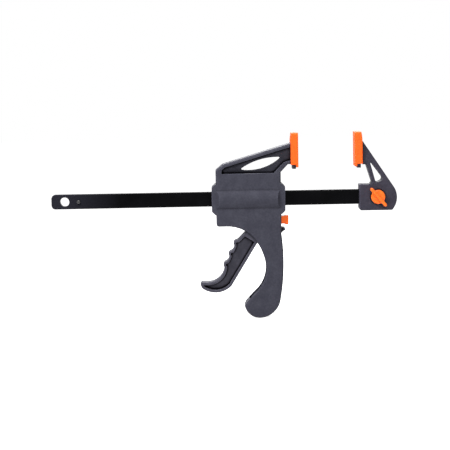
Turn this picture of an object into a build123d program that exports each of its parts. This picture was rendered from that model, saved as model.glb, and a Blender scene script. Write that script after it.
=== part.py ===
from build123d import *
import os
from math import cos, hypot, pi, radians, sin, tan

# Quick release bar clamp, in millimetres. The origin is the centre of the hanging hole in the
# bar's free end. X runs along the bar towards the fixed jaw, Z up towards the jaws, and the rear
# of the clamp, where its screws are, faces +Y.

# The bar, a flat drawn strip with a hanging hole and a stop pin near its free end.
bar_height = 12.0
bar_thickness = 5.0
bar_length = 273.0
bar_tail = 10.8
bar_edge_round = 1.1
bar_end_round = 3.4
hang_hole = 7.5
stop_pin_x = 11.2
stop_pin_diameter = 3.0
stop_pin_stand = 1.3
pin_chamfer = 0.3

# The handle body, measured from the middle of its sleeve on the bar. It is two moulded halves
# that meet on the clamp's mid-plane.
handle_x = 149.2
slide_gap = 0.2
face_depth = 9.5
side_wall = 2.8
edge_bevel = 1.0
box_half = 26.3
box_corner_round = 2.2
box_bottom = -21.9
end_wall = 2.5
room_half = box_half - end_wall
sleeve_half = 29.7
sleeve_top = 12.5
sleeve_bottom = -12.4
sleeve_chamfer = 2.8
barrel_radius = 12.0
barrel_half = 28.1
barrel_slope = 4.4
spring_room = 8.9
room_floor = -18.9
room_over_plates = 0.6

# The jaw arm of the handle: two flanges joined by a thin web with a leaf-shaped hole.
arm_corner_inset = 6.0
arm_corner = (arm_corner_inset - box_half, 28.5)
arm_shoulder = 23.6
arm_slope = 16.3
jaw_end = 34.5
jaw_throat = 27.8
throat_lip = 2.3
throat_drop = 6.2
top_flange = 2.8
lower_flange = 2.5
web_half = 2.2
recess_inset = 4.9
recess_left = recess_inset - box_half
recess_bottom = 20.8
recess_foot_inset = 5.6
recess_foot = (box_half - recess_foot_inset, recess_bottom)
recess_head = (29.1, 29.3)
recess_corner = (2.4, 1.6)
recess_tail = 0.6
leaf_ends = ((-6.6, 23.8), (27.0, 33.4))
leaf_upper_bow = 3.0
leaf_lower_bow = 4.1
leaf_tip_round = 0.8

# The grip, a channel that is open towards the trigger. The brow joins it to the box's underside.
grip_length = 97.0
brow_start = -17.5
grip_shoulder = (5.3, -33.6)
grip_top = (box_half, -28.5)
grip_back = (27.7, -52.0)
grip_heel = (24.8, 14.4 - grip_length)
grip_sole = (9.6, -grip_length)
grip_tip = (-4.5, 9.6 - grip_length)
grip_lip = (-2.9, 12.8 - grip_length)
grip_hook = (5.0, 21.0 - grip_length)
grip_palm = (13.2, -53.2)
grip_wall = 2.8
channel_mouth = -4.6
channel_top = -17.0
channel_waist = -60.0
channel_toe = (0.0, 17.2 - grip_length)
finger_guard_stand = 1.9
finger_guard = (box_half + finger_guard_stand, -25.1)
finger_guard_radius = 1.3
finger_guard_root = (1.5, 4.4)
finger_guard_half = 5.5

# The jaw pads: soft moulded caps that slide down over the rail at the end of each jaw.
pad_thickness = 6.1
pad_half_width = 9.5
pad_top = 52.7
pad_bottom = 27.2
pad_front_bottom = 25.2
pad_front = 1.8
pad_lip = 1.1
pad_cap = 2.4
pad_slope = (0.7, 5.0)
pad_corner_round = 1.5
rail_gap = 0.12
rail_half_width = 7.0
rail_bottom = 23.8
rail_chamfer = 0.4
neck_root = 0.5
neck_set_down = 0.3
pad_x = handle_x + jaw_end + rail_gap

# The trigger and its pin.
trigger_half = 6.3
trigger_web_half = 1.5
trigger_rim = 2.2
trigger_bevel = 0.5
trigger_from_wall = 17.8
trigger_pivot = (room_half - trigger_from_wall, -16.5)
trigger_pin_diameter = 4.0
pin_cover = 1.0
pin_end_gap = 0.1
trigger_boss_radius = 5.2
trigger_nose = (-2.0, 7.0)
trigger_nose_radius = 2.5
trigger_cam_root = 3.6
running_fit = 0.05
ridge_count = 3
ridge_first = (-9.6, -36.3)
ridge_pitch = (-4.2, -8.6)
ridge_radius = 3.1
ridge_hollow_radius = 3.2
ridge_inset_share = 0.8
ridge_head = (-1.5, 1.5)
ridge_foot = (-2.5, -0.9)
trigger_root = (4.8, 5.1)
trigger_neck = (-2.4, -26.2)
trigger_instep = (-24.1, -63.5)
trigger_hook = (-33.6, -67.6)
trigger_tip = (-41.4, -67.3)
trigger_tip_cut = (2.4, -5.0)
trigger_tip_round = 1.9
trigger_foot_round = 5.0
trigger_bottom = (-27.5, -76.1)
trigger_back_foot = (-14.9, -70.7)
trigger_back_top = (9.1, -31.9)
trigger_pocket_top = ((-10.0, -26.0), (10.0, -38.8))

# The drive: two plates that grip the bar when the trigger tips them, and the spring round the
# bar that brings them back.
plate_thickness = 2.6
plate_half_width = 6.2
plate_top = 10.5
plate_bottom = -12.5
plate_window_gap = 0.2
plate_corner_round = 1.2
plate_gap = 0.05
nose_gap = 0.15
drive_wire = 1.3
drive_coil_radius = 7.9
drive_turns = 5
stop_gap = 0.1
spring_end_gap = 0.1
coil_steps = 12
wire_sides = 6

# The brake: a tilted plate that locks on the bar, its spring and the release button.
brake_from_wall = 6.6
brake_pivot = (room_half - brake_from_wall, 10.3)
brake_tilt = 10.0
brake_thickness = 2.5
brake_half_width = 6.0
brake_reach = 27.3
brake_toe = 2.0
brake_hold = 1.6
brake_rocking_room = 0.75
brake_window = 13.0
brake_wire = 0.6
brake_coil_radius = 2.3
brake_turns = 4
brake_spring_z = -10.6
brake_rib_offset = 3.4
brake_rib_thickness = 1.8
brake_rib_top = -7.2
drive_stop_foot = 7.3
rib_thickness = 1.7
button_z = -17.7
button_reach = 6.0
button_neck = 6.1
button_flare = 7.3
button_flare_run = 1.4
button_half_width = 4.2
button_edge_round = 0.6
button_neck_stand = 2.3
button_cap_wall = 0.9
button_cap_height = 4.2
button_window_gap = 0.35
button_sink = 1.0
button_side_gap = 0.4

# The fixed jaw, measured from its clamping screw.
screw_to_bar_end = 8.2
jaw_x = bar_length - bar_tail - screw_to_bar_end
jaw_half = 7.0
socket_end_gap = 1.2
socket_gap = 0.1
jaw_head_x = -12.26
jaw_left = -15.0
jaw_nose = (12.9, 11.5)
jaw_nose_top = 8.0
jaw_head_top = 45.8
jaw_head_foot = 26.4
jaw_inner_head = -9.3
jaw_inner_foot = (-4.8, 12.0)
jaw_inner_ramp = 1.2
jaw_slot = ((-6.8, 30.1), (4.9, 13.9), (-1.5, 11.0))
jaw_slot_rounds = (0.6, 2.2, 2.0)
jaw_block_top = 10.2
jaw_block_bottom = -11.0
jaw_corner_round = 2.0
jaw_bevel = 0.8
jaw_neck_drop = 1.6

# The clamping screw with its wing knob, washer and nut.
screw_diameter = 6.0
screw_hole = 6.6
knob_radius = 5.65
knob_height = 3.0
knob_bevel = 0.7
knob_roof = 0.6
wing_length = 18.8
wing_thickness = 2.6
wing_height = 6.5
wing_foot = 0.8
wing_angle = -49.6
washer_radius = 6.5
washer_thickness = 1.0
washer_recess = 0.6
nut_flats = 10.0
nut_height = 3.2
nut_pocket = 3.6
seat_gap = 0.2
screw_end_chamfer = 0.6

# The self-tapping screws that join the two halves of the handle, put in from the rear.
screw_inset = 5.5
screw_column = box_half - screw_inset
body_screws = ((-screw_column, 16.8), (screw_column, 16.8), (-screw_column, -15.4))
grip_screws = ((screw_column, -30.5), (grip_sole[0], 7.6 - grip_length))
shell_screw_places = body_screws + grip_screws
shell_screw_diameter = 3.0
shell_screw_head = 5.6
shell_screw_head_height = 2.0
shell_screw_length = 14.0
shell_screw_cross = (3.4, 0.8, 0.8)
shell_screw_clearance = 0.2
shell_screw_set_down = 0.4
shell_screw_tip_room = 0.3
shell_boss_radius = 3.2
screw_fit = 0.02


def block(x0, x1, y0, y1, z0, z1):
    return Pos((x0 + x1) / 2, (y0 + y1) / 2, (z0 + z1) / 2) * Box(x1 - x0, y1 - y0, z1 - z0)


def plate(profile, half):
    return extrude(profile, amount=half, both=True)


def cross_pin(place, radius, y0, y1):
    turned = Rot(X=-90) * Cylinder(radius, y1 - y0, align=(Align.CENTER, Align.CENTER, Align.MIN))
    return Pos(place[0], y0, place[1]) * turned


def along_bar(radius, x0, x1, z=0.0):
    turned = Rot(Y=90) * Cylinder(radius, x1 - x0, align=(Align.CENTER, Align.CENTER, Align.MIN))
    return Pos(x0, 0, z) * turned


def arc_bow(start, end, bow):
    """Middle point of an arc that leaves its chord by bow, to the left of start to end."""
    dx = end[0] - start[0]
    dz = end[1] - start[1]
    length = hypot(dx, dz)
    return ((start[0] + end[0]) / 2 - dz / length * bow, (start[1] + end[1]) / 2 + dx / length * bow)


def closed_face(*curves):
    return Plane.XZ * make_face(Curve() + list(curves))


# ---------------------------------------------------------------- bar


def make_bar():
    half_thick = bar_thickness / 2
    half_high = bar_height / 2
    strip = block(-bar_tail, bar_length - bar_tail, -half_thick, half_thick, -half_high, half_high)
    cut_ends = fillet(strip.edges().filter_by(Axis.Y).group_by(Axis.X)[0], bar_end_round)
    bar = fillet(strip.edges().filter_by(Axis.X), bar_edge_round) & cut_ends
    bar -= cross_pin((0, 0), hang_hole / 2, -bar_thickness, bar_thickness)
    bar -= cross_pin((stop_pin_x, 0), stop_pin_diameter / 2 + screw_fit, -bar_thickness, bar_thickness)
    bar -= cross_pin((jaw_x, 0), screw_hole / 2, -bar_thickness, bar_thickness)
    return bar


def make_stop_pin():
    reach = bar_thickness / 2 + stop_pin_stand
    pin = cross_pin((stop_pin_x, 0), stop_pin_diameter / 2, -reach, reach)
    return chamfer(pin.edges(), pin_chamfer)


# ---------------------------------------------------------------- handle body


def arm_top(x):
    """Height of the arm's sloping top at x, in the handle's own frame."""
    return arm_corner[1] + (x - arm_corner[0]) * tan(radians(arm_slope))


def handle_profile():
    underside = (brow_start, box_bottom)
    left_side = ((-box_half, box_bottom), (-box_half, arm_shoulder))
    tip_of_arm = (jaw_end, arm_top(jaw_end))
    throat = (
        (jaw_end, jaw_throat),
        (jaw_end - throat_lip, jaw_throat),
        (box_half, jaw_throat - throat_drop),
    )
    back = ThreePointArc(grip_top, grip_back, grip_heel)
    sole = TangentArc(grip_heel, grip_sole, tangent=back % 1)
    toe = TangentArc(grip_sole, grip_tip, tangent=sole % 1)
    brow = TangentArc(underside, grip_shoulder, tangent=(1, 0))
    palm = TangentArc(grip_shoulder, grip_palm, tangent=brow % 1)
    hook = TangentArc(grip_palm, grip_hook, tangent=palm % 1)
    return closed_face(
        Polyline(*left_side, arm_corner, tip_of_arm, *throat, grip_top),
        back,
        sole,
        toe,
        Polyline(grip_tip, grip_lip, grip_hook),
        hook,
        palm,
        brow,
        Line(underside, (-box_half, box_bottom)),
    )


def hollow_profile():
    """The room inside the handle: a box for the mechanism, open down into the grip's channel."""
    room = Pos(0, (room_top + room_floor) / 2) * Rectangle(2 * room_half, room_top - room_floor)
    back_top = (grip_top[0] - grip_wall, grip_top[1])
    back = (grip_back[0] - grip_wall, grip_back[1])
    heel = (grip_heel[0] - grip_wall, grip_heel[1])
    sole = (grip_sole[0], grip_sole[1] + grip_wall)
    toe = (grip_tip[0] + grip_wall, grip_tip[1])
    mouth = ((channel_mouth, channel_waist), (channel_mouth, channel_top))
    channel = make_face(
        Curve()
        + [
            Polyline(*mouth, (room_half, channel_top), back_top),
            ThreePointArc(back_top, back, heel),
            ThreePointArc(heel, sole, toe),
            Polyline(toe, channel_toe, mouth[0]),
        ]
    )
    return Plane.XZ * (room + channel)


def leaf_profile():
    left, right = leaf_ends
    upper = arc_bow(left, right, leaf_upper_bow)
    lower = arc_bow(left, right, -leaf_lower_bow)
    leaf = make_face(Curve() + [ThreePointArc(left, upper, right), ThreePointArc(right, lower, left)])
    return Plane.XZ * fillet(leaf.vertices(), leaf_tip_round)


def recess_profile():
    """The pocket between the arm's flanges, the same from both sides."""
    corner_x = recess_left + recess_corner[0]
    return closed_face(
        Polyline(
            (recess_left, recess_bottom),
            (recess_left, arm_top(recess_left) - top_flange - recess_corner[1]),
            (corner_x, arm_top(corner_x) - top_flange),
            (jaw_end, arm_top(jaw_end) - top_flange),
            (jaw_end, jaw_throat + lower_flange + recess_tail),
            recess_head,
            recess_foot,
            (recess_left, recess_bottom),
        )
    )


def make_half_shell():
    """The front half of the handle, from the mid-plane to -Y, before its own holes."""
    shell = extrude(handle_profile(), face_depth)
    corner = shell.edges().filter_by(Axis.Y).sort_by_distance(Vertex(-box_half, 0, box_bottom))[0]
    shell = fillet(corner, box_corner_round)
    shell = chamfer(shell.faces().sort_by(Axis.Y)[0].edges(), edge_bevel)

    # Arm: a pocket that leaves the web, and the leaf-shaped hole through it.
    shell -= Pos(0, -web_half, 0) * extrude(recess_profile(), face_depth)
    shell -= extrude(leaf_profile(), face_depth)

    # Finger guard below the release button.
    shell += make_finger_guard(finger_guard_half)

    # Sleeve and barrel round the bar.
    sleeve = block(-sleeve_half, sleeve_half, -face_depth, 0, sleeve_bottom, sleeve_top)
    shell += chamfer(sleeve.edges().filter_by(Axis.Y), sleeve_chamfer)
    barrel_plan = Polyline(
        (-barrel_half, -face_depth),
        (-barrel_half + barrel_slope, -barrel_radius),
        (barrel_half - barrel_slope, -barrel_radius),
        (barrel_half, -face_depth),
        (barrel_half, 0),
        (-barrel_half, 0),
        close=True,
    )
    prism = extrude(make_face(barrel_plan), barrel_radius, both=True)
    shell += prism & along_bar(barrel_radius, -barrel_half, barrel_half)

    # Room for the mechanism, the spring round the bar and the bar itself.
    shell -= extrude(hollow_profile(), face_depth - side_wall)
    shell -= along_bar(spring_room, -room_half, room_half)
    bar_room = bar_height / 2 + slide_gap
    shell -= block(-sleeve_half, sleeve_half, -bar_thickness / 2 - slide_gap, 0, -bar_room, bar_room)

    shell += inner_ribs()
    for place in shell_screw_places:
        shell += cross_pin(place, shell_boss_radius, -face_depth + edge_bevel, 0)
    shell -= cross_pin(trigger_pivot, trigger_pin_diameter / 2 + screw_fit, -face_depth + pin_cover, 0)
    return shell - make_button_window()


def make_button_window():
    """The window in the end wall, deeper below the button, which sinks as it is pressed in."""
    window_half = button_half_width + button_side_gap
    window_top = button_z + button_neck / 2 + button_window_gap
    window_bottom = button_z - button_neck / 2 - button_window_gap - button_sink
    return block(room_half - end_wall, sleeve_half, -window_half, 0, window_bottom, window_top)


def make_finger_guard(depth):
    """A rounded nib below the release button, flat on top and tapered into the grip's back."""
    x, z = finger_guard
    root = box_half - finger_guard_root[0]
    above = (x, z + finger_guard_radius)
    below = (x, z - finger_guard_radius)
    nib = make_face(
        Curve()
        + [
            Line((root, above[1]), above),
            ThreePointArc(above, (x + finger_guard_radius, z), below),
            Polyline(below, (root, z - finger_guard_root[1]), (root, above[1])),
        ]
    )
    return extrude(Plane.XZ * nib, depth)


def inner_ribs():
    """Ribs that stop the drive plates, hold the top of the brake plate and carry its spring."""
    wall = -face_depth + side_wall
    ribs = block(spring_seat_x - brake_rib_thickness, spring_seat_x, wall, 0, room_floor, brake_rib_top)
    ribs += block(drive_stop_x, drive_stop_x + rib_thickness, wall, 0, drive_stop_foot, room_top)
    for side in (-1, 1):
        x = brake_pivot[0] + side * (brake_thickness / 2 + brake_rocking_room + rib_thickness / 2)
        rib = block(-rib_thickness / 2, rib_thickness / 2, wall, 0, brake_pivot[1] - brake_hold, room_top)
        ribs += Pos(x, 0, 0) * rib
    return ribs


def make_rail_half(x0):
    """Half of the rail that a pad slides on, with the neck that joins it to the web."""
    rail_back = x0 + rail_gap + pad_lip + rail_gap
    rail_front = rail_back + rail_thickness
    rail = block(rail_back, rail_front, -rail_half_width, 0, rail_bottom, rail_top)
    return chamfer(rail.edges().filter_by(Axis.X), rail_chamfer)


def make_shell_pair():
    front = make_half_shell()
    neck_end = jaw_end + rail_gap + pad_lip + rail_gap
    neck_top = arm_top(jaw_end) - neck_set_down
    front += block(jaw_end - neck_root, neck_end, -web_half, 0, jaw_throat, neck_top)
    front += make_rail_half(jaw_end)
    rear = mirror(front, Plane.XZ)
    for place in shell_screw_places:
        front -= cross_pin(place, shell_screw_diameter / 2 + screw_fit, -screw_depth, 0)
        rear -= cross_pin(place, shell_screw_diameter / 2 + shell_screw_clearance, 0, face_depth)
        rear -= cross_pin(place, shell_screw_head / 2 + shell_screw_clearance, screw_seat, barrel_radius)
    return front, rear


def make_shell_screws():
    head_top = screw_seat + shell_screw_head_height
    across, wide, deep = shell_screw_cross
    cross = Box(across, 2 * deep, wide) + Box(wide, 2 * deep, across)
    head = cross_pin((0, 0), shell_screw_head / 2, screw_seat, head_top) - Pos(0, head_top, 0) * cross
    screw = head + cross_pin((0, 0), shell_screw_diameter / 2, screw_seat - shell_screw_length, screw_seat)
    return Compound(children=[Pos(x, 0, z) * screw for x, z in shell_screw_places])


# ---------------------------------------------------------------- trigger


def trigger_lever(inset=0.0):
    """Side view of the lever: ridges for the fingers in front, a hook below and a straight back."""
    px, pz = trigger_pivot
    step_x, step_z = ridge_pitch
    centres = [(ridge_first[0] + n * step_x, ridge_first[1] + n * step_z) for n in range(ridge_count)]
    last_ridge = centres[-1]
    front_head = (ridge_first[0] + ridge_head[0], ridge_first[1] + ridge_head[1])
    front_foot = (last_ridge[0] + ridge_foot[0], last_ridge[1] + ridge_foot[1])
    heel = (trigger_tip[0] + trigger_tip_cut[0], trigger_tip[1] + trigger_tip_cut[1])
    root_front = (px - trigger_root[0], pz)
    root_back = (px + trigger_root[1], pz)
    outline = make_face(
        Curve()
        + [
            Polyline(root_front, trigger_neck, front_head, front_foot),
            ThreePointArc(front_foot, trigger_instep, trigger_hook),
            Polyline(trigger_hook, trigger_tip, heel),
            ThreePointArc(heel, trigger_bottom, trigger_back_foot),
            Polyline(trigger_back_foot, trigger_back_top, root_back, root_front),
        ]
    )
    tip_corners = [v for v in outline.vertices() if v.X < trigger_hook[0] - trigger_tip_round / 2]
    outline = fillet(tip_corners, trigger_tip_round)
    foot = outline.vertices().sort_by_distance(Vertex(*trigger_back_foot))[0]
    outline = fillet(foot, trigger_foot_round)
    if inset:
        outline = offset(outline, -inset)
    radius = ridge_radius - ridge_inset_share * inset
    for centre in centres:
        outline += Pos(*centre) * Circle(radius)
    hollows = [v for v in outline.vertices() if on_a_ridge(v, centres, radius)]
    if inset:
        between = [v for v in hollows if v.Y > centres[-1][1] + radius / 2]
        return fillet(between, ridge_hollow_radius / 2)
    return fillet(hollows, ridge_hollow_radius)


def on_a_ridge(vertex, centres, radius):
    """True where a ridge's circle meets the line of the lever's front."""
    return any(abs(hypot(vertex.X - x, vertex.Y - z) - radius) < running_fit for x, z in centres)


def make_trigger():
    px, pz = trigger_pivot
    lever = trigger_lever()
    trigger = plate(Plane.XZ * lever, trigger_half)
    trigger = chamfer(trigger.faces().filter_by(Axis.Y).edges(), trigger_bevel)
    left = trigger_tip[0]
    right = trigger_pocket_top[1][0]
    top = trigger_pocket_top[0][1]
    bottom = trigger_bottom[1]
    lower_part = Polyline((left, top), *trigger_pocket_top, (right, bottom), (left, bottom), close=True)
    below_neck = make_face(lower_part)
    pocket = Plane.XZ * (trigger_lever(trigger_rim) & below_neck)
    pocket_depth = trigger_half - trigger_web_half
    trigger -= Pos(0, -trigger_web_half, 0) * extrude(pocket, pocket_depth)
    trigger -= Pos(0, trigger_half, 0) * extrude(pocket, pocket_depth)
    nose = Pos(px + trigger_nose[0], pz + trigger_nose[1]) * Circle(trigger_nose_radius)
    cam = make_hull(nose.edges() + (Pos(px, pz) * Circle(trigger_cam_root)).edges())
    trigger += plate(Plane.XZ * (Pos(px, pz) * Circle(trigger_boss_radius) + cam), trigger_half)
    trigger -= cross_pin(trigger_pivot, trigger_pin_diameter / 2 + running_fit, -trigger_half, trigger_half)
    return trigger


def make_trigger_pin():
    reach = face_depth - pin_cover - pin_end_gap
    return cross_pin(trigger_pivot, trigger_pin_diameter / 2, -reach, reach)


# ---------------------------------------------------------------- drive and brake


def make_drive_plate(n):
    """Plate n, counted from the trigger's nose."""
    x1 = drive_face_x - n * (plate_thickness + plate_gap)
    body = block(x1 - plate_thickness, x1, -plate_half_width, plate_half_width, plate_bottom, plate_top)
    body = fillet(body.edges().filter_by(Axis.X), plate_corner_round)
    high = bar_height / 2 + plate_window_gap
    wide = bar_thickness / 2 + plate_window_gap
    return body - block(x1 - plate_thickness, x1, -wide, wide, -high, high)


def coil(radius, wire, turns, x0, x1, z):
    """A compression spring along X between two faces, its wire in short straight lengths."""
    span = x1 - x0 - wire
    steps = turns * coil_steps
    angles = [2 * pi * n / coil_steps for n in range(steps + 1)]
    points = [
        (x0 + wire / 2 + span * n / steps, radius * cos(angle), z + radius * sin(angle))
        for n, angle in enumerate(angles)
    ]
    path = Polyline(*points)
    section = Plane(origin=path @ 0, z_dir=path % 0) * RegularPolygon(wire / 2, wire_sides)
    return sweep(section, path=path, transition=Transition.RIGHT)


def make_drive_spring():
    x1 = drive_face_x - 2 * plate_thickness - plate_gap
    x0 = -room_half
    return coil(drive_coil_radius, drive_wire, drive_turns, x0 + spring_end_gap, x1 - spring_end_gap, 0)


def brake_middle_x(z):
    """Where the tilted brake plate's middle plane is at height z."""
    return brake_pivot[0] + (brake_pivot[1] - z) * tan(radians(brake_tilt))


def tilted(shape):
    """Turn a shape made upright at the brake's pivot to the locked tilt."""
    return Pos(brake_pivot[0], 0, brake_pivot[1]) * Rot(Y=-brake_tilt) * shape


def make_brake_plate():
    half = brake_thickness / 2
    body = block(-half, half, -brake_half_width, brake_half_width, -brake_reach - brake_toe, 0.0)
    body = fillet(body.edges().filter_by(Axis.X), plate_corner_round)
    wide = bar_thickness / 2 + plate_window_gap
    middle = -brake_pivot[1] / cos(radians(brake_tilt))
    body -= block(-half, half, -wide, wide, middle - brake_window / 2, middle + brake_window / 2)
    return tilted(body)


def make_brake_spring():
    face_offset = brake_thickness / 2 / cos(radians(brake_tilt))
    lean = brake_coil_radius * tan(radians(brake_tilt))
    x0 = spring_seat_x + spring_end_gap
    x1 = brake_middle_x(brake_spring_z) - face_offset - lean - 2 * spring_end_gap
    return coil(brake_coil_radius, brake_wire, brake_turns, x0, x1, brake_spring_z)


def make_release_button():
    """The button, with the cap that holds it on the brake plate's lower end."""
    cap_half = brake_thickness / 2 + button_cap_wall
    cap = tilted(Pos(0, 0, -brake_reach) * Box(2 * cap_half, 2 * button_half_width, button_cap_height))
    outside = box_half + button_reach
    neck_end = box_half + button_neck_stand
    lower_edge = [
        (brake_middle_x(button_z), -button_neck / 2),
        (neck_end, -button_neck / 2),
        (neck_end + button_flare_run, -button_flare / 2),
        (outside, -button_flare / 2),
    ]
    upper_edge = [(x, -z) for x, z in reversed(lower_edge)]
    side = Pos(0, button_z) * make_face(Polyline(*lower_edge, *upper_edge, close=True))
    button = cap + plate(Plane.XZ * side, button_half_width)
    button = fillet(button.faces().sort_by(Axis.X)[-1].edges(), button_edge_round)
    slot_half = brake_thickness / 2 + plate_gap
    slot_foot = -brake_reach - brake_toe - plate_gap
    return button - tilted(block(-slot_half, slot_half, -brake_half_width, brake_half_width, slot_foot, 0))


# ---------------------------------------------------------------- pads


def make_pad():
    """A jaw pad, its back at x = 0 and its clamping face at +X."""
    front_x = pad_thickness
    pocket_x = pad_thickness - pad_front
    body = block(0, front_x, -pad_half_width, pad_half_width, pad_bottom, pad_top)
    body += block(pocket_x, front_x, -pad_half_width, pad_half_width, pad_front_bottom, pad_bottom)
    slope_corners = ((0, pad_top - pad_slope[1]), (0, pad_top), (pad_slope[0], pad_top))
    back_slope = make_face(Polyline(*slope_corners, close=True))
    body -= plate(Plane.XZ * back_slope, pad_half_width)
    body = fillet(body.edges().filter_by(Axis.X).sort_by(Axis.Z)[-2:], pad_corner_round)
    body -= block(pad_lip, pocket_x, -pad_inside, pad_inside, pad_front_bottom, rail_top + rail_gap)
    neck = web_half + 2 * rail_gap
    return body - block(0, pad_lip, -neck, neck, pad_front_bottom, rail_top + rail_gap)


# ---------------------------------------------------------------- fixed jaw


def fixed_jaw_profile():
    """The jaw from the side: a block round the bar and a bent arm up to the pad, and the arm's slot."""
    head_top = (jaw_head_x, jaw_head_top)
    head_foot = (jaw_head_x, jaw_head_foot)
    nose_top = (jaw_nose[0], jaw_nose_top)
    nose_low = (jaw_nose[1], jaw_block_bottom)
    left_side = ((jaw_left, jaw_block_bottom), (jaw_left, jaw_block_top))
    inner_heel = (jaw_inner_foot[0] - jaw_inner_ramp, jaw_block_top)
    inner_head = (jaw_inner_head, jaw_head_foot)
    slope = Line(head_top, nose_top)
    outline = closed_face(
        slope,
        TangentArc(nose_top, nose_low, tangent=slope % 1),
        Polyline(nose_low, *left_side, inner_heel, jaw_inner_foot, inner_head, head_foot),
        Line(head_foot, head_top),
    )
    slot = make_face(Polyline(*jaw_slot, close=True))
    for corner, radius in zip(jaw_slot, jaw_slot_rounds):
        slot = fillet(slot.vertices().sort_by_distance(Vertex(*corner))[0], radius)
    return outline, Plane.XZ * slot


def make_fixed_jaw():
    outline, slot = fixed_jaw_profile()
    jaw = plate(outline, jaw_half)
    corners = jaw.edges().filter_by(Axis.Y)
    jaw = fillet(corners.sort_by_distance(Vertex(jaw_left, 0, jaw_block_bottom))[0], jaw_corner_round)
    jaw = chamfer(jaw.faces().filter_by(Axis.Y).edges(), jaw_bevel)
    jaw -= plate(slot, jaw_half)

    # Socket for the bar, open towards the handle.
    high = bar_height / 2 + socket_gap
    wide = bar_thickness / 2 + socket_gap
    jaw -= block(jaw_left, screw_to_bar_end + socket_end_gap, -wide, wide, -high, high)

    # Clamping screw: washer recess in front, nut pocket behind.
    jaw -= cross_pin((0, 0), screw_hole / 2, -jaw_half, jaw_half)
    jaw -= cross_pin((0, 0), washer_radius + seat_gap, -jaw_half, -jaw_half + washer_recess)
    jaw -= nut_prism(nut_flats + seat_gap, jaw_half - nut_pocket, jaw_half)

    # Rail for the pad, and the neck that carries it.
    rail = make_rail_half(0) + mirror(make_rail_half(0), Plane.XZ)
    jaw += Pos(jaw_head_x, 0, 0) * mirror(rail, Plane.YZ)
    neck = (jaw_head_foot + neck_set_down, jaw_head_top - jaw_neck_drop)
    back_of_rail = jaw_head_x - pad_lip - 2 * rail_gap
    return jaw + block(back_of_rail, jaw_head_x + neck_root, -web_half, web_half, neck[0], neck[1])


def nut_prism(flats, y0, y1):
    return Pos(0, y1, 0) * extrude(Plane.XZ * RegularPolygon(flats / 2, 6, major_radius=False), y1 - y0)


def make_nut():
    seat = jaw_half - nut_pocket
    nut = nut_prism(nut_flats, seat, seat + nut_height)
    return nut - cross_pin((0, 0), screw_diameter / 2 + running_fit, 0, jaw_half)


def make_washer():
    back = -jaw_half + washer_recess
    ring = cross_pin((0, 0), washer_radius, back - washer_thickness, back)
    return ring - cross_pin((0, 0), screw_diameter / 2 + seat_gap, back - washer_thickness, back)


def make_knob():
    back = -jaw_half + washer_recess - washer_thickness
    base = cross_pin((0, 0), knob_radius, back - knob_height, back)
    base = chamfer(base.edges().sort_by(Axis.Y)[0], knob_bevel)
    wing = SlotOverall(wing_length, wing_thickness)
    wing_solid = Pos(0, back - wing_foot, 0) * extrude(Plane.XZ * (Rot(Z=wing_angle) * wing), wing_height)
    wing_solid = chamfer(wing_solid.faces().sort_by(Axis.Y)[0].edges(), knob_bevel)
    knob = base + wing_solid
    return knob - cross_pin((0, 0), screw_diameter / 2 + screw_fit, back - stud_depth, back)


def make_lock_screw():
    back = -jaw_half + washer_recess - washer_thickness
    head = back - stud_depth + plate_gap
    stud = cross_pin((0, 0), screw_diameter / 2, head, jaw_half - screw_end_chamfer)
    return chamfer(stud.edges().sort_by(Axis.Y)[-1], screw_end_chamfer)


# Sizes worked out from the ones above.
rail_thickness = pad_thickness - pad_front - pad_lip - 2 * rail_gap
rail_top = pad_top - pad_cap - rail_gap
pad_inside = rail_half_width + rail_gap
pad_back_x = jaw_x + jaw_head_x - rail_gap
drive_face_x = trigger_pivot[0] + trigger_nose[0] - trigger_nose_radius - nose_gap
drive_stop_x = drive_face_x + stop_gap
spring_seat_x = brake_pivot[0] - brake_rib_offset
screw_seat = face_depth - shell_screw_head_height - shell_screw_set_down
screw_depth = shell_screw_length - screw_seat + shell_screw_tip_room
stud_depth = knob_height - knob_roof
room_top = plate_top + room_over_plates

at_handle = Location((handle_x, 0, 0))
at_jaw = Location((jaw_x, 0, 0))
front_shell, rear_shell = make_shell_pair()

nodes = {
    "bar": make_bar(),
    "bar_stop_pin": make_stop_pin(),
    "handle_front_shell": at_handle * front_shell,
    "handle_rear_shell": at_handle * rear_shell,
    "handle_screws": at_handle * make_shell_screws(),
    "trigger": at_handle * make_trigger(),
    "trigger_pin": at_handle * make_trigger_pin(),
    "drive_plate_inner": at_handle * make_drive_plate(0),
    "drive_plate_outer": at_handle * make_drive_plate(1),
    "drive_spring": at_handle * make_drive_spring(),
    "brake_plate": at_handle * make_brake_plate(),
    "brake_spring": at_handle * make_brake_spring(),
    "release_button": at_handle * make_release_button(),
    "moving_jaw_pad": Pos(pad_x, 0, 0) * make_pad(),
    "fixed_jaw": at_jaw * make_fixed_jaw(),
    "fixed_jaw_pad": Pos(pad_back_x, 0, 0) * mirror(make_pad(), Plane.YZ),
    "lock_knob": at_jaw * make_knob(),
    "lock_screw": at_jaw * make_lock_screw(),
    "lock_washer": at_jaw * make_washer(),
    "lock_nut": at_jaw * make_nut(),
}

os.makedirs("parts", exist_ok=True)
for name, shape in nodes.items():
    export_step(shape, f"parts/{name}.step")
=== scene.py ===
from math import cos, pi, radians, sin

import bmesh
import bpy
from mathutils import Matrix, Vector


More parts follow.
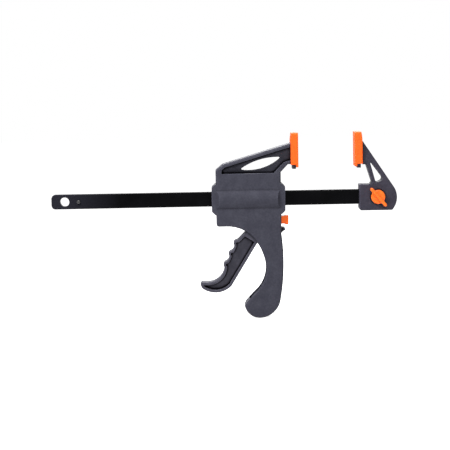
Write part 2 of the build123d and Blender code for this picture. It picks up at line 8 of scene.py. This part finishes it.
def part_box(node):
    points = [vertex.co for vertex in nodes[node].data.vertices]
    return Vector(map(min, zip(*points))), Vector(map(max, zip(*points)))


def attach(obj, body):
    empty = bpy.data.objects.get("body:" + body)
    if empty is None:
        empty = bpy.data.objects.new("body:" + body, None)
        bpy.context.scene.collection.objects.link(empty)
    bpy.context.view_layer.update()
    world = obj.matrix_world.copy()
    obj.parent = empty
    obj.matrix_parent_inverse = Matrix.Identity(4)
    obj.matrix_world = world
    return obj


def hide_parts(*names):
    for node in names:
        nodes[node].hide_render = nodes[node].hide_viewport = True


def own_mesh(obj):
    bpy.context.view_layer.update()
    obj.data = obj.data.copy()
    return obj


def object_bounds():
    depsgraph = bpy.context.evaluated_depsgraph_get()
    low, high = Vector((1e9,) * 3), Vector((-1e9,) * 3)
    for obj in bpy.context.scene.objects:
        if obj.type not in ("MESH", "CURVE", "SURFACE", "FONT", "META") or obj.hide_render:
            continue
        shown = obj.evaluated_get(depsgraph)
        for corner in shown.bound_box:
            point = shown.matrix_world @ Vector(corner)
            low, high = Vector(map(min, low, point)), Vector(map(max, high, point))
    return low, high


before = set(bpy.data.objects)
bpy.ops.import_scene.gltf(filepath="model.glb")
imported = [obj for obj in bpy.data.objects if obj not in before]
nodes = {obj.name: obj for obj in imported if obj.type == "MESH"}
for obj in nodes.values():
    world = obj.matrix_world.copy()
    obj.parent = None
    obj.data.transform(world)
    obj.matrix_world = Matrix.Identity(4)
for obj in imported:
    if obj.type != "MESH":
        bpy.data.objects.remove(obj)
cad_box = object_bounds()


# ---------------------------------------------------------------- camera
# A long lens a little over a metre in front of the clamp, a few degrees above the bar, so that
# the clamp is seen flat from its front side with only a trace of the tops of its pieces.

camera_aim = Vector((0.1298, 0.0, -0.0214))
camera_distance = 1.2265
camera_azimuth = radians(-0.07)
camera_elevation = radians(6.07)
camera_roll = radians(-1.09)
width_at_aim = 0.3668
sensor_width = 36.0

camera_data = bpy.data.cameras.new("camera")
camera_data.sensor_width = sensor_width
camera_data.lens = sensor_width * camera_distance / width_at_aim
camera = bpy.data.objects.new("camera", camera_data)
bpy.context.scene.collection.objects.link(camera)
turn = (
    Matrix.Rotation(-camera_azimuth, 4, "Z")
    @ Matrix.Rotation(pi / 2 - camera_elevation, 4, "X")
    @ Matrix.Rotation(camera_roll, 4, "Z")
)
step_back = Matrix.Translation((0, 0, camera_distance))
camera.matrix_world = Matrix.Translation(camera_aim) @ turn @ step_back
bpy.context.scene.camera = camera


# ---------------------------------------------------------------- studio
# A white table in a white room, with a soft box high in front on the left, one overhead, one
# lower in front on the right and one behind. The clamp stands on the heel of its grip.

white = (1.0, 1.0, 1.0, 1.0)


def put(tree, kind, **values):
    """Add a node; each value goes to the input of that name, or to the node's own setting."""
    node = tree.nodes.new(kind)
    for key, value in values.items():
        socket = node.inputs.get(key.replace("_", " "))
        if socket is None:
            setattr(node, key, value)
        else:
            socket.default_value = value
    return node


def soft_box(name, place, size, watts):
    """A square area lamp that looks at the middle of the clamp."""
    lamp = bpy.data.lights.new(name, "AREA")
    lamp.shape = "SQUARE"
    lamp.size = size
    lamp.energy = watts
    holder = bpy.data.objects.new(name, lamp)
    holder.location = place
    holder.rotation_euler = (camera_aim - Vector(place)).to_track_quat("-Z", "Y").to_euler()
    bpy.context.scene.collection.objects.link(holder)


def seen_rays(tree):
    """1 for the rays that show the white room itself: camera, glossy and transmission rays."""
    rays = put(tree, "ShaderNodeLightPath")
    glossy = put(tree, "ShaderNodeMath", operation="MAXIMUM")
    seen = put(tree, "ShaderNodeMath", operation="MAXIMUM")
    tree.links.new(rays.outputs["Is Glossy Ray"], glossy.inputs[0])
    tree.links.new(rays.outputs["Is Transmission Ray"], glossy.inputs[1])
    tree.links.new(rays.outputs["Is Camera Ray"], seen.inputs[0])
    tree.links.new(glossy.outputs[0], seen.inputs[1])
    return seen.outputs[0]


def finish_white(tree, kind, plain, shown):
    """Shown for the rays that see the white surface, and plain for all the other rays."""
    choice = put(tree, "ShaderNodeMixShader")
    output = put(tree, kind)
    tree.links.new(seen_rays(tree), choice.inputs[0])
    tree.links.new(plain.outputs[0], choice.inputs[1])
    tree.links.new(shown.outputs[0], choice.inputs[2])
    tree.links.new(choice.outputs[0], output.inputs["Surface"])


room_lighting = 0.15
room_backdrop = 1.0

room = bpy.data.worlds.new("white_room")
room.use_nodes = True
tree = room.node_tree
tree.nodes.clear()
lighting = put(tree, "ShaderNodeBackground", Color=white, Strength=room_lighting)
backdrop = put(tree, "ShaderNodeBackground", Color=white, Strength=room_backdrop)
finish_white(tree, "ShaderNodeOutputWorld", lighting, backdrop)
bpy.context.scene.world = room

soft_box("key_box", place=(-0.27, -0.37, 0.55), size=0.20, watts=6.3)
soft_box("overhead_box", place=(0.06, -0.10, 0.74), size=0.4, watts=3.0)
soft_box("side_box", place=(0.30, -0.80, 0.30), size=0.3, watts=3.2)
soft_box("rear_box", place=(0.20, 0.60, 0.40), size=0.5, watts=4.5)

table_half = 3.0
table_gap = 0.0002
table_top = cad_box[0][2] - table_gap
table_white = (0.85, 0.85, 0.85, 1.0)
table_glow = 0.90
table_grey = (0.55, 0.55, 0.55, 1.0)

corners = [(x * table_half, y * table_half) for x, y in ((-1, -1), (1, -1), (1, 1), (-1, 1))]
table_mesh = bpy.data.meshes.new("table")
table_mesh.from_pydata([(x, y, table_top) for x, y in corners], [], [(0, 1, 2, 3)])
table = bpy.data.objects.new("table", table_mesh)
bpy.context.scene.collection.objects.link(table)

white_table = bpy.data.materials.new("white_table")
white_table.use_nodes = True
tree = white_table.node_tree
tree.nodes.clear()
lit = put(tree, "ShaderNodeBsdfDiffuse", Color=table_white)
glow = put(tree, "ShaderNodeEmission", Color=white, Strength=table_glow)
shown = put(tree, "ShaderNodeAddShader")
plain = put(tree, "ShaderNodeBsdfDiffuse", Color=table_grey)
tree.links.new(lit.outputs[0], shown.inputs[0])
tree.links.new(glow.outputs[0], shown.inputs[1])
finish_white(tree, "ShaderNodeOutputMaterial", plain, shown)
table_mesh.materials.append(white_table)


# ---------------------------------------------------------------- bar
# A drawn steel strip, blanked to length and stove-enamelled black, with a pin near its free end.
# The enamel is glossy and has the faint orange peel of a sprayed coat. A painted highlight runs
# along its long edges, and its colour turns lighter towards the hanging hole.


def linear(red, green, blue):
    """A colour given on the 0 to 255 scale of a screen, as Blender's linear values."""
    parts = [part / 255 for part in (red, green, blue)]
    parts = [p / 12.92 if p <= 0.04045 else ((p + 0.055) / 1.055) ** 2.4 for p in parts]
    return (*parts, 1.0)


def new_material(name):
    """A material with its shader and the object's own coordinates."""
    material = bpy.data.materials.new(name)
    material.use_nodes = True
    tree = material.node_tree
    place = put(tree, "ShaderNodeTexCoord")
    return material, tree, tree.nodes["Principled BSDF"], place.outputs["Object"]


def noise(tree, place, per_metre, detail=2.0, roughness=0.5):
    """Cloudy or grainy noise with per_metre spots to the metre."""
    cloud = put(tree, "ShaderNodeTexNoise", Scale=per_metre, Detail=detail, Roughness=roughness)
    tree.links.new(place, cloud.inputs["Vector"])
    return cloud.outputs["Fac"]


def between(tree, amount, low, high, start=0.3, end=0.7):
    """low up to where amount is start, high from where it is end, and a slope between them."""
    span = put(tree, "ShaderNodeMapRange", From_Min=start, From_Max=end, To_Min=low, To_Max=high)
    tree.links.new(amount, span.inputs["Value"])
    return span.outputs["Result"]


def mixed(tree, amount, first, second):
    """The colour first where amount is 0, and second where it is 1."""
    blend = put(tree, "ShaderNodeMix", data_type="RGBA")
    tree.links.new(amount, blend.inputs["Factor"])
    for socket, colour in ((blend.inputs[6], first), (blend.inputs[7], second)):
        if isinstance(colour, tuple):
            socket.default_value = colour
        else:
            tree.links.new(colour, socket)
    return blend.outputs[2]


def soft_edges(tree, radius):
    """Normals that round every edge off by radius."""
    rounded = put(tree, "ShaderNodeBevel", samples=6, Radius=radius)
    return rounded.outputs["Normal"]


def relief(tree, height, depth, normal):
    """Raise the surface by height times depth, over normals that are already rounded."""
    bump = put(tree, "ShaderNodeBump", Strength=1.0, Distance=depth)
    tree.links.new(height, bump.inputs["Height"])
    tree.links.new(normal, bump.inputs["Normal"])
    return bump.outputs["Normal"]


def edge_mask(tree, radius, rise):
    """1 along the edges and 0 on the open faces, by how far the rounded normal leans."""
    flat = put(tree, "ShaderNodeNewGeometry")
    along = put(tree, "ShaderNodeVectorMath", operation="DOT_PRODUCT")
    tree.links.new(soft_edges(tree, radius), along.inputs[0])
    tree.links.new(flat.outputs["True Normal"], along.inputs[1])
    return between(tree, along.outputs["Value"], 1.0, 0.0, start=1.0 - rise, end=1.0 - rise / 8)


def dress(material, *names):
    """Give CAD nodes their finish."""
    for name in names:
        nodes[name].data.materials.clear()
        nodes[name].data.materials.append(material)


enamel_black = linear(3, 3, 4)
enamel_lifted = linear(6, 6, 8)
enamel_near_hole = linear(33, 33, 40)
enamel_edge_highlight = linear(30, 28, 31)
near_hole_length = 0.045
highlight_edge_radius = 0.0005
enamel_edge = 0.0004
peel_depth = 0.000012

enamel, tree, shader, place = new_material("bar_enamel")
clouds = noise(tree, place, per_metre=90.0, detail=3.0)
peel = noise(tree, place, per_metre=700.0)
coat = mixed(tree, between(tree, clouds, 0.0, 1.0), enamel_black, enamel_lifted)
axes = put(tree, "ShaderNodeSeparateXYZ")
tree.links.new(place, axes.inputs["Vector"])
# The colour turns lighter towards the hanging hole, over the first few centimetres of the bar.
near_hole = between(tree, axes.outputs["X"], 1.0, 0.0, start=0.0, end=near_hole_length)
coat = mixed(tree, near_hole, coat, enamel_near_hole)
# Painted highlight: a lighter enamel colour along the rounded edges, where light would catch
# them.
edges = edge_mask(tree, highlight_edge_radius, rise=0.16)
tree.links.new(mixed(tree, edges, coat, enamel_edge_highlight), shader.inputs["Base Color"])
tree.links.new(between(tree, clouds, 0.22, 0.34), shader.inputs["Roughness"])
peeled = relief(tree, peel, peel_depth, soft_edges(tree, enamel_edge))
tree.links.new(peeled, shader.inputs["Normal"])
shader.inputs["Specular IOR Level"].default_value = 0.025
dress(enamel, "bar")

pin_black = linear(10, 10, 12)
pin_worn = linear(30, 30, 34)
dimple_depth = 0.00002

pin_enamel, tree, shader, place = new_material("stop_pin_enamel")
dimples = noise(tree, place, per_metre=900.0, detail=3.0)
tree.links.new(mixed(tree, dimples, pin_black, pin_worn), shader.inputs["Base Color"])
tree.links.new(between(tree, dimples, 0.18, 0.32), shader.inputs["Roughness"])
dimpled = relief(tree, dimples, dimple_depth, soft_edges(tree, enamel_edge))
tree.links.new(dimpled, shader.inputs["Normal"])
shader.inputs["Specular IOR Level"].default_value = 0.6
dress(pin_enamel, "bar_stop_pin")


# ---------------------------------------------------------------- handle housing and fixed jaw
# Two mirrored halves of the pistol-grip handle and the fixed jaw, injection moulded in charcoal
# nylon with short glass fibre. The mould is spark-eroded, which leaves an even fine grain. The
# barrel round the bar ends in a sickle-shaped hollow at either end.

black = (0.0, 0.0, 0.0, 1.0)


def shaded(colour, share):
    """The colour with its light multiplied by share."""
    return (*(min(part * share, 1.0) for part in colour[:3]), 1.0)


def openness(tree, reach):
    """1 on an open face, and less the more the piece's own walls stand within reach."""
    shelter = put(tree, "ShaderNodeAmbientOcclusion", samples=8, only_local=True, Distance=reach)
    return shelter.outputs["AO"]


def hollow_mask(tree, reach):
    """1 deep in a corner or a groove and 0 on the open faces: where the hollows are darkened."""
    return between(tree, openness(tree, reach), 1.0, 0.0, start=0.58, end=0.94)


def crease_shade_mask(tree, reach):
    """0.75 in the bottom of even a shallow crease, and 0 a short way from it."""
    return between(tree, openness(tree, reach), 0.75, 0.0, start=0.78, end=0.99)


def moulded_nylon(name, colour, lighter, roughness, groove, rounding=0.0006):
    """Charcoal nylon: grain, a drift of tone, a painted highlight along the edges, and painted
    shade in creases and grooves.
    """
    material, tree, shader, place = new_material(name)
    drift = noise(tree, place, per_metre=110.0, detail=4.0, roughness=0.6)
    grain = noise(tree, place, per_metre=1900.0, detail=3.0, roughness=0.6)
    fibre = noise(tree, place, per_metre=650.0, detail=2.0, roughness=0.6)
    fibre_dark = shaded(colour, 0.78)
    edge_highlight = shaded(lighter, 2.2)
    painted_shade = shaded(colour, 0.06)
    grain_depth = 0.00004

    toned = mixed(tree, between(tree, drift, 0.0, 1.0), colour, lighter)
    flecks = between(tree, fibre, 0.45, 0.0, start=0.35, end=0.6)
    speckled = mixed(tree, flecks, toned, fibre_dark)
    # Painted highlight: the edges are lightened towards a pale copy of the nylon, a light line
    # where they catch the light.
    edges = edge_mask(tree, rounding * 1.2, rise=0.2)
    edged = mixed(tree, between(tree, edges, 0.0, 0.8, start=0.0, end=1.0), speckled, edge_highlight)
    # Painted shade: creases and hollows are darkened almost to black, and in the hollows the
    # reflection is tinted away as well.
    creased = mixed(tree, crease_shade_mask(tree, rounding * 2.5), edged, painted_shade)
    hollows = hollow_mask(tree, groove)
    tree.links.new(mixed(tree, hollows, creased, painted_shade), shader.inputs["Base Color"])
    tree.links.new(mixed(tree, hollows, white, black), shader.inputs["Specular Tint"])
    matt = between(tree, grain, roughness - 0.05, roughness + 0.07)
    tree.links.new(matt, shader.inputs["Roughness"])
    grained = relief(tree, grain, grain_depth, soft_edges(tree, rounding))
    tree.links.new(grained, shader.inputs["Normal"])
    shader.inputs["Specular IOR Level"].default_value = 0.09
    return material


def cutter(name, rings):
    """A closed solid through rings of points, to be cut out of a piece."""
    shape = bmesh.new()
    rings = [[shape.verts.new(point) for point in ring] for ring in rings]
    for near, far in zip(rings, rings[1:]):
        for here in range(len(near)):
            after = (here + 1) % len(near)
            shape.faces.new((near[here], near[after], far[after], far[here]))
    shape.faces.new(rings[0])
    shape.faces.new(rings[-1])
    bmesh.ops.recalc_face_normals(shape, faces=shape.faces)
    mesh = bpy.data.meshes.new(name)
    shape.to_mesh(mesh)
    shape.free()
    return bpy.data.objects.new(name, mesh)


def cut_copy(name, node, cutters):
    """A copy of a CAD node, its triangles joined, with the cutters taken out of it."""
    same_point = 0.000001
    blank = nodes[node].data.copy()
    merged = bmesh.new()
    merged.from_mesh(blank)
    bmesh.ops.remove_doubles(merged, verts=merged.verts, dist=same_point)
    merged.to_mesh(blank)
    merged.free()
    whole = bpy.data.objects.new(name + "_blank", blank)
    bpy.context.scene.collection.objects.link(whole)
    for tool in cutters:
        bpy.context.scene.collection.objects.link(tool)
        cut = whole.modifiers.new("cut", "BOOLEAN")
        cut.operation = "DIFFERENCE"
        cut.solver = "EXACT"
        cut.object = tool
    evaluated = whole.evaluated_get(bpy.context.evaluated_depsgraph_get())
    mesh = bpy.data.meshes.new_from_object(evaluated)
    mesh.name = name
    for scrap in (whole, *cutters):
        bpy.data.objects.remove(scrap)
    piece = bpy.data.objects.new(name, mesh)
    bpy.context.scene.collection.objects.link(piece)
    return piece


handle_x = 0.1492
face_depth = 0.0095
barrel_radius = 0.012
barrel_end = 0.0237
scoop_radius = 0.0030
scoop_clearance = 0.00003
scoop_half_height = 0.009
scoop_steps = 12
past_end = 0.0310
past_side = 0.0150


def barrel_scoop(side, end):
    """A cutter that hollows one end of the barrel on one side of the handle into a sickle."""
    floor = face_depth + scoop_clearance
    rise = barrel_radius - face_depth - scoop_clearance
    run = (2 * scoop_radius * rise - rise * rise) ** 0.5
    centre_x = barrel_end + run
    centre_y = floor + scoop_radius
    outline = []
    for step in range(scoop_steps + 1):
        angle = pi + pi / 2 * step / scoop_steps
        x = centre_x + scoop_radius * cos(angle)
        outline.append((x, centre_y + scoop_radius * sin(angle)))
    outline += [(past_end, floor), (past_end, past_side), (centre_x - scoop_radius, past_side)]
    heights = (-scoop_half_height, scoop_half_height)
    rings = [[(handle_x + end * x, side * y, z) for x, y in outline] for z in heights]
    return cutter("barrel_scoop", rings)


housing_nylon = moulded_nylon(
    "housing_nylon", linear(52, 52, 62), linear(65, 65, 75), roughness=0.50, groove=0.0028
)
shells = (("front_housing", "handle_front_shell", -1), ("rear_housing", "handle_rear_shell", 1))
for name, node, side in shells:
    half = cut_copy(name, node, [barrel_scoop(side, -1), barrel_scoop(side, 1)])
    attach(half, "handle")
    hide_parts(node)
    half.data.materials.clear()
    half.data.materials.append(housing_nylon)

jaw_nylon = moulded_nylon(
    "fixed_jaw_nylon", linear(50, 48, 59), linear(62, 60, 71), roughness=0.55, groove=0.002
)
dress(jaw_nylon, "fixed_jaw")


# ---------------------------------------------------------------- trigger
# The trigger is one moulding of the same nylon, a rim round a thin web, polished a little by
# the fingers on its three ridges. The hollows between the ridges are cut deep, with soft lips.

first_ridge = (handle_x - 0.0096, -0.0363)
ridge_pitch = (-0.0042, -0.0086)
ridge_outward = (-0.899, 0.439)
hollow_stand = 0.0053
hollow_radius = 0.0042
hollow_sides = 72
trigger_half = 0.0063
lip = 0.0005
beyond = 0.001


def finger_hollow(number):
    """A cutter across the trigger between ridge number and the next, flared at its lips."""
    along = number + 0.5
    x = first_ridge[0] + ridge_pitch[0] * along + ridge_outward[0] * hollow_stand
    z = first_ridge[1] + ridge_pitch[1] * along + ridge_outward[1] * hollow_stand
    flare = (trigger_half + beyond, hollow_radius + lip + beyond)
    throat = (trigger_half - lip, hollow_radius)
    run = [flare, throat, (-throat[0], throat[1]), (-flare[0], flare[1])]
    angles = [2 * pi * step / hollow_sides for step in range(hollow_sides)]
    rings = [[(x + wide * cos(a), y, z + wide * sin(a)) for a in angles] for y, wide in run]
    return cutter("finger_hollow", rings)


trigger_nylon = moulded_nylon(
    "trigger_nylon", linear(63, 62, 72), linear(77, 76, 86), roughness=0.44, groove=0.0026
)
trigger_lever = cut_copy("trigger_lever", "trigger", [finger_hollow(0), finger_hollow(1)])
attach(trigger_lever, "trigger")
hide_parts("trigger")
trigger_lever.data.materials.clear()
trigger_lever.data.materials.append(trigger_nylon)


# ---------------------------------------------------------------- steel inside the handle
# Two drive plates and one brake plate, stamped from hardened strip and left as they come from
# the press, oiled and slightly brown.


def bare_steel(name, colour, darker, roughness, lines_per_metre, stretch):
    """Bare steel with lines along one axis, stains of oil, and a darker colour in its recesses.
    """
    material, tree, shader, place = new_material(name)
    run = put(tree, "ShaderNodeMapping", Scale=stretch)
    tree.links.new(place, run.inputs["Vector"])
    lines = noise(tree, run.outputs["Vector"], lines_per_metre, detail=3.0)
    stains = noise(tree, place, per_metre=220.0, detail=4.0, roughness=0.6)
    recess_dark = shaded(darker, 0.12)
    recess = 0.0009
    steel_edge = 0.0002
    line_depth = 0.000012

    metal = mixed(tree, between(tree, stains, 0.0, 1.0), colour, darker)
    recess_darkened = mixed(tree, hollow_mask(tree, recess), metal, recess_dark)
    tree.links.new(recess_darkened, shader.inputs["Base Color"])
    sheen = between(tree, lines, roughness - 0.08, roughness + 0.1)
    tree.links.new(sheen, shader.inputs["Roughness"])
    lined = relief(tree, lines, line_depth, soft_edges(tree, steel_edge))
    tree.links.new(lined, shader.inputs["Normal"])
    shader.inputs["Metallic"].default_value = 1.0
    return material


plate_steel = bare_steel(
    "plate_steel", linear(150, 149, 148), linear(112, 107, 101),
    roughness=0.38, lines_per_metre=900.0, stretch=(1, 1, 0.08),
)
dress(plate_steel, "drive_plate_inner", "drive_plate_outer", "brake_plate")


# ---------------------------------------------------------------- drive spring and brake spring
# Two compression springs wound from round drawn wire, one turn closed at each end. The large one
# sits round the bar and brings the drive plates back, the small one keeps the brake plate tilted.

spring_steel = bare_steel(
    "spring_steel", linear(166, 166, 168), linear(128, 126, 124),
    roughness=0.30, lines_per_metre=1500.0, stretch=(0.2, 1, 1),
)
steps_per_turn = 24
wire_sides = 12


def wind(tree, operation, first, second=0.0):
    """One sum in the coil's nodes; each side is a socket or a plain number."""
    node = put(tree, "ShaderNodeMath", operation=operation)
    for socket, value in zip(node.inputs, (first, second)):
        if isinstance(value, float):
            socket.default_value = value
        else:
            tree.links.new(value, socket)
    return node.outputs[0]


def advance(tree, along, start, end, height):
    """The coil's rise: 0 up to start, and height from end on."""
    step = put(tree, "ShaderNodeMapRange", To_Min=0.0)
    rise = {"Value": along, "From Min": start, "From Max": end, "To Max": height}
    for label, value in rise.items():
        if isinstance(value, float):
            step.inputs[label].default_value = value
        else:
            tree.links.new(value, step.inputs[label])
    return step.outputs[0]


def coil_nodes():
    """Nodes that wind a spring along X from its named sizes."""
    tree = bpy.data.node_groups.new("wound_coil", "GeometryNodeTree")
    usual = {"Coil Radius": 0.008, "Wire": 0.001, "Turns": 5.0, "Length": 0.02}
    for label, size in usual.items():
        socket = tree.interface.new_socket(label, in_out="INPUT", socket_type="NodeSocketFloat")
        socket.default_value = size
    tree.interface.new_socket("Spring", in_out="OUTPUT", socket_type="NodeSocketGeometry")
    sizes = tree.nodes.new("NodeGroupInput").outputs
    along = tree.nodes.new("GeometryNodeSplineParameter").outputs["Factor"]
    coil_radius, wire, turns, length = (sizes[label] for label in usual)

    one_turn = wind(tree, "DIVIDE", 1.0, turns)
    last_turn = wind(tree, "SUBTRACT", 1.0, one_turn)
    closed_ends = wind(tree, "MULTIPLY", wire, 3.0)
    open_run = wind(tree, "SUBTRACT", length, closed_ends)
    first_closed = advance(tree, along, 0.0, one_turn, wire)
    last_closed = advance(tree, along, last_turn, 1.0, wire)
    opened = advance(tree, along, one_turn, last_turn, open_run)
    half_wire = wind(tree, "MULTIPLY", wire, 0.5)
    x = wind(tree, "ADD", wind(tree, "ADD", first_closed, last_closed), opened)
    angle = wind(tree, "MULTIPLY", wind(tree, "MULTIPLY", along, turns), 2 * pi)
    point = put(tree, "ShaderNodeCombineXYZ")
    tree.links.new(wind(tree, "ADD", x, half_wire), point.inputs["X"])
    for axis, wave in (("Y", "COSINE"), ("Z", "SINE")):
        swing = wind(tree, "MULTIPLY", coil_radius, wind(tree, wave, angle))
        tree.links.new(swing, point.inputs[axis])

    line = put(tree, "GeometryNodeCurvePrimitiveLine")
    steps = put(tree, "GeometryNodeResampleCurve")
    count = wind(tree, "MULTIPLY_ADD", turns, float(steps_per_turn))
    count.node.inputs[2].default_value = 1.0
    bent = put(tree, "GeometryNodeSetPosition")
    section = put(tree, "GeometryNodeCurvePrimitiveCircle", Resolution=wire_sides)
    drawn = put(tree, "GeometryNodeCurveToMesh", Fill_Caps=True)
    real = put(tree, "GeometryNodeRealizeInstances")
    coated = put(tree, "GeometryNodeSetMaterial", Material=spring_steel)
    finished = tree.nodes.new("NodeGroupOutput")
    tree.links.new(line.outputs["Curve"], steps.inputs["Curve"])
    tree.links.new(count, steps.inputs["Count"])
    tree.links.new(steps.outputs["Curve"], bent.inputs["Geometry"])
    tree.links.new(point.outputs["Vector"], bent.inputs["Position"])
    tree.links.new(half_wire, section.inputs["Radius"])
    tree.links.new(bent.outputs["Geometry"], drawn.inputs["Curve"])
    tree.links.new(section.outputs["Curve"], drawn.inputs["Profile Curve"])
    tree.links.new(drawn.outputs["Mesh"], real.inputs["Geometry"])
    tree.links.new(real.outputs["Geometry"], coated.inputs["Geometry"])
    tree.links.new(coated.outputs["Geometry"], finished.inputs["Spring"])
    return tree


coil_tree = coil_nodes()


def wound_spring(name, node, coil_radius, wire, turns):
    """The coil that stands for a CAD spring, in that spring's place."""
    low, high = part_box(node)
    blank = bpy.data.objects.new(name + "_blank", bpy.data.meshes.new(name + "_blank"))
    bpy.context.scene.collection.objects.link(blank)
    winding = blank.modifiers.new("winding", "NODES")
    winding.node_group = coil_tree
    length = high[0] - low[0]
    sizes = {"Coil Radius": coil_radius, "Wire": wire, "Turns": turns, "Length": length}
    for socket in coil_tree.interface.items_tree:
        if socket.in_out == "INPUT":
            winding[socket.identifier] = sizes[socket.name]
    evaluated = blank.evaluated_get(bpy.context.evaluated_depsgraph_get())
    mesh = bpy.data.meshes.new_from_object(evaluated)
    mesh.name = name
    bpy.data.objects.remove(blank)
    middle = ((low[1] + high[1]) / 2, (low[2] + high[2]) / 2)
    mesh.transform(Matrix.Translation((low[0], *middle)))
    mesh.polygons.foreach_set("use_smooth", [True] * len(mesh.polygons))
    spring = bpy.data.objects.new(name, mesh)
    bpy.context.scene.collection.objects.link(spring)
    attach(spring, "handle")
    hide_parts(node)
    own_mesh(spring)


wound_spring(
    "drive_coil", "drive_spring", coil_radius=0.0079, wire=0.0013, turns=5.0,
)
wound_spring(
    "brake_coil", "brake_spring", coil_radius=0.0023, wire=0.0006, turns=4.0,
)


# ---------------------------------------------------------------- screws, pin and nut
# Five cross-recess screws that join the halves of the handle, the trigger's pin, and the M6
# clamping screw and its nut: steel, zinc plated with a clear blue passivation.

zinc_plate = bare_steel(
    "zinc_plate", linear(168, 170, 175), linear(138, 142, 150),
    roughness=0.30, lines_per_metre=1200.0, stretch=(1, 0.15, 1),
)
dress(zinc_plate, "handle_screws", "trigger_pin", "lock_screw", "lock_nut")


# ---------------------------------------------------------------- washer
# A plain steel washer in black oxide under the wing knob. It turns dull where the knob rubs it.

washer_black = bare_steel(
    "washer_black", linear(38, 37, 40), linear(24, 23, 26),
    roughness=0.45, lines_per_metre=1400.0, stretch=(1, 1, 1),
)
dress(washer_black, "lock_washer")


# ---------------------------------------------------------------- release button and wing knob
# The button clips onto the brake plate and the wing knob is moulded over the head of the
# clamping screw. Both are orange acetal, satin where fingers touch it.


def orange_moulding(name, colour, deeper, roughness, grain_depth, inner_glow):
    """Through-coloured orange plastic: fine grain, a slow drift of tone and a soft inner glow."""
    material, tree, shader, place = new_material(name)
    drift = noise(tree, place, per_metre=120.0, detail=3.0)
    grain = noise(tree, place, per_metre=2200.0)
    moulded_edge = 0.0004
    toned = mixed(tree, between(tree, drift, 0.0, 1.0), colour, deeper)
    tree.links.new(toned, shader.inputs["Base Color"])
    satin = between(tree, grain, roughness - 0.05, roughness + 0.08)
    tree.links.new(satin, shader.inputs["Roughness"])
    grained = relief(tree, grain, grain_depth, soft_edges(tree, moulded_edge))
    tree.links.new(grained, shader.inputs["Normal"])
    shader.inputs["Specular IOR Level"].default_value = 0.25
    shader.inputs["Subsurface Weight"].default_value = inner_glow
    shader.inputs["Subsurface Radius"].default_value = (0.0016, 0.0006, 0.0002)
    shader.inputs["Subsurface Scale"].default_value = 1.0
    return material


knob_acetal = orange_moulding(
    "orange_acetal", linear(254, 119, 32), linear(253, 108, 24),
    roughness=0.34, grain_depth=0.00001, inner_glow=0.10,
)
dress(knob_acetal, "lock_knob")
# Painted light: the button has its own redder, more saturated copy of the acetal, to make up for
# the shade of the housing wall that falls on it.
lit_button_acetal = orange_moulding(
    "lit_button_acetal", linear(255, 108, 26), linear(255, 98, 18),
    roughness=0.34, grain_depth=0.00001, inner_glow=0.10,
)
dress(lit_button_acetal, "release_button")


# ---------------------------------------------------------------- jaw pads
# Two soft orange caps that slide down over the rails of the jaws. They are moulded in a
# thermoplastic rubber, matt and slightly dusty, so that they don't mark the work.

orange_rubber = orange_moulding(
    "orange_rubber", linear(254, 99, 16), linear(252, 93, 12),
    roughness=0.60, grain_depth=0.00003, inner_glow=0.12,
)
dress(orange_rubber, "moving_jaw_pad", "fixed_jaw_pad")


bpy.context.scene.view_settings.view_transform = "Standard"
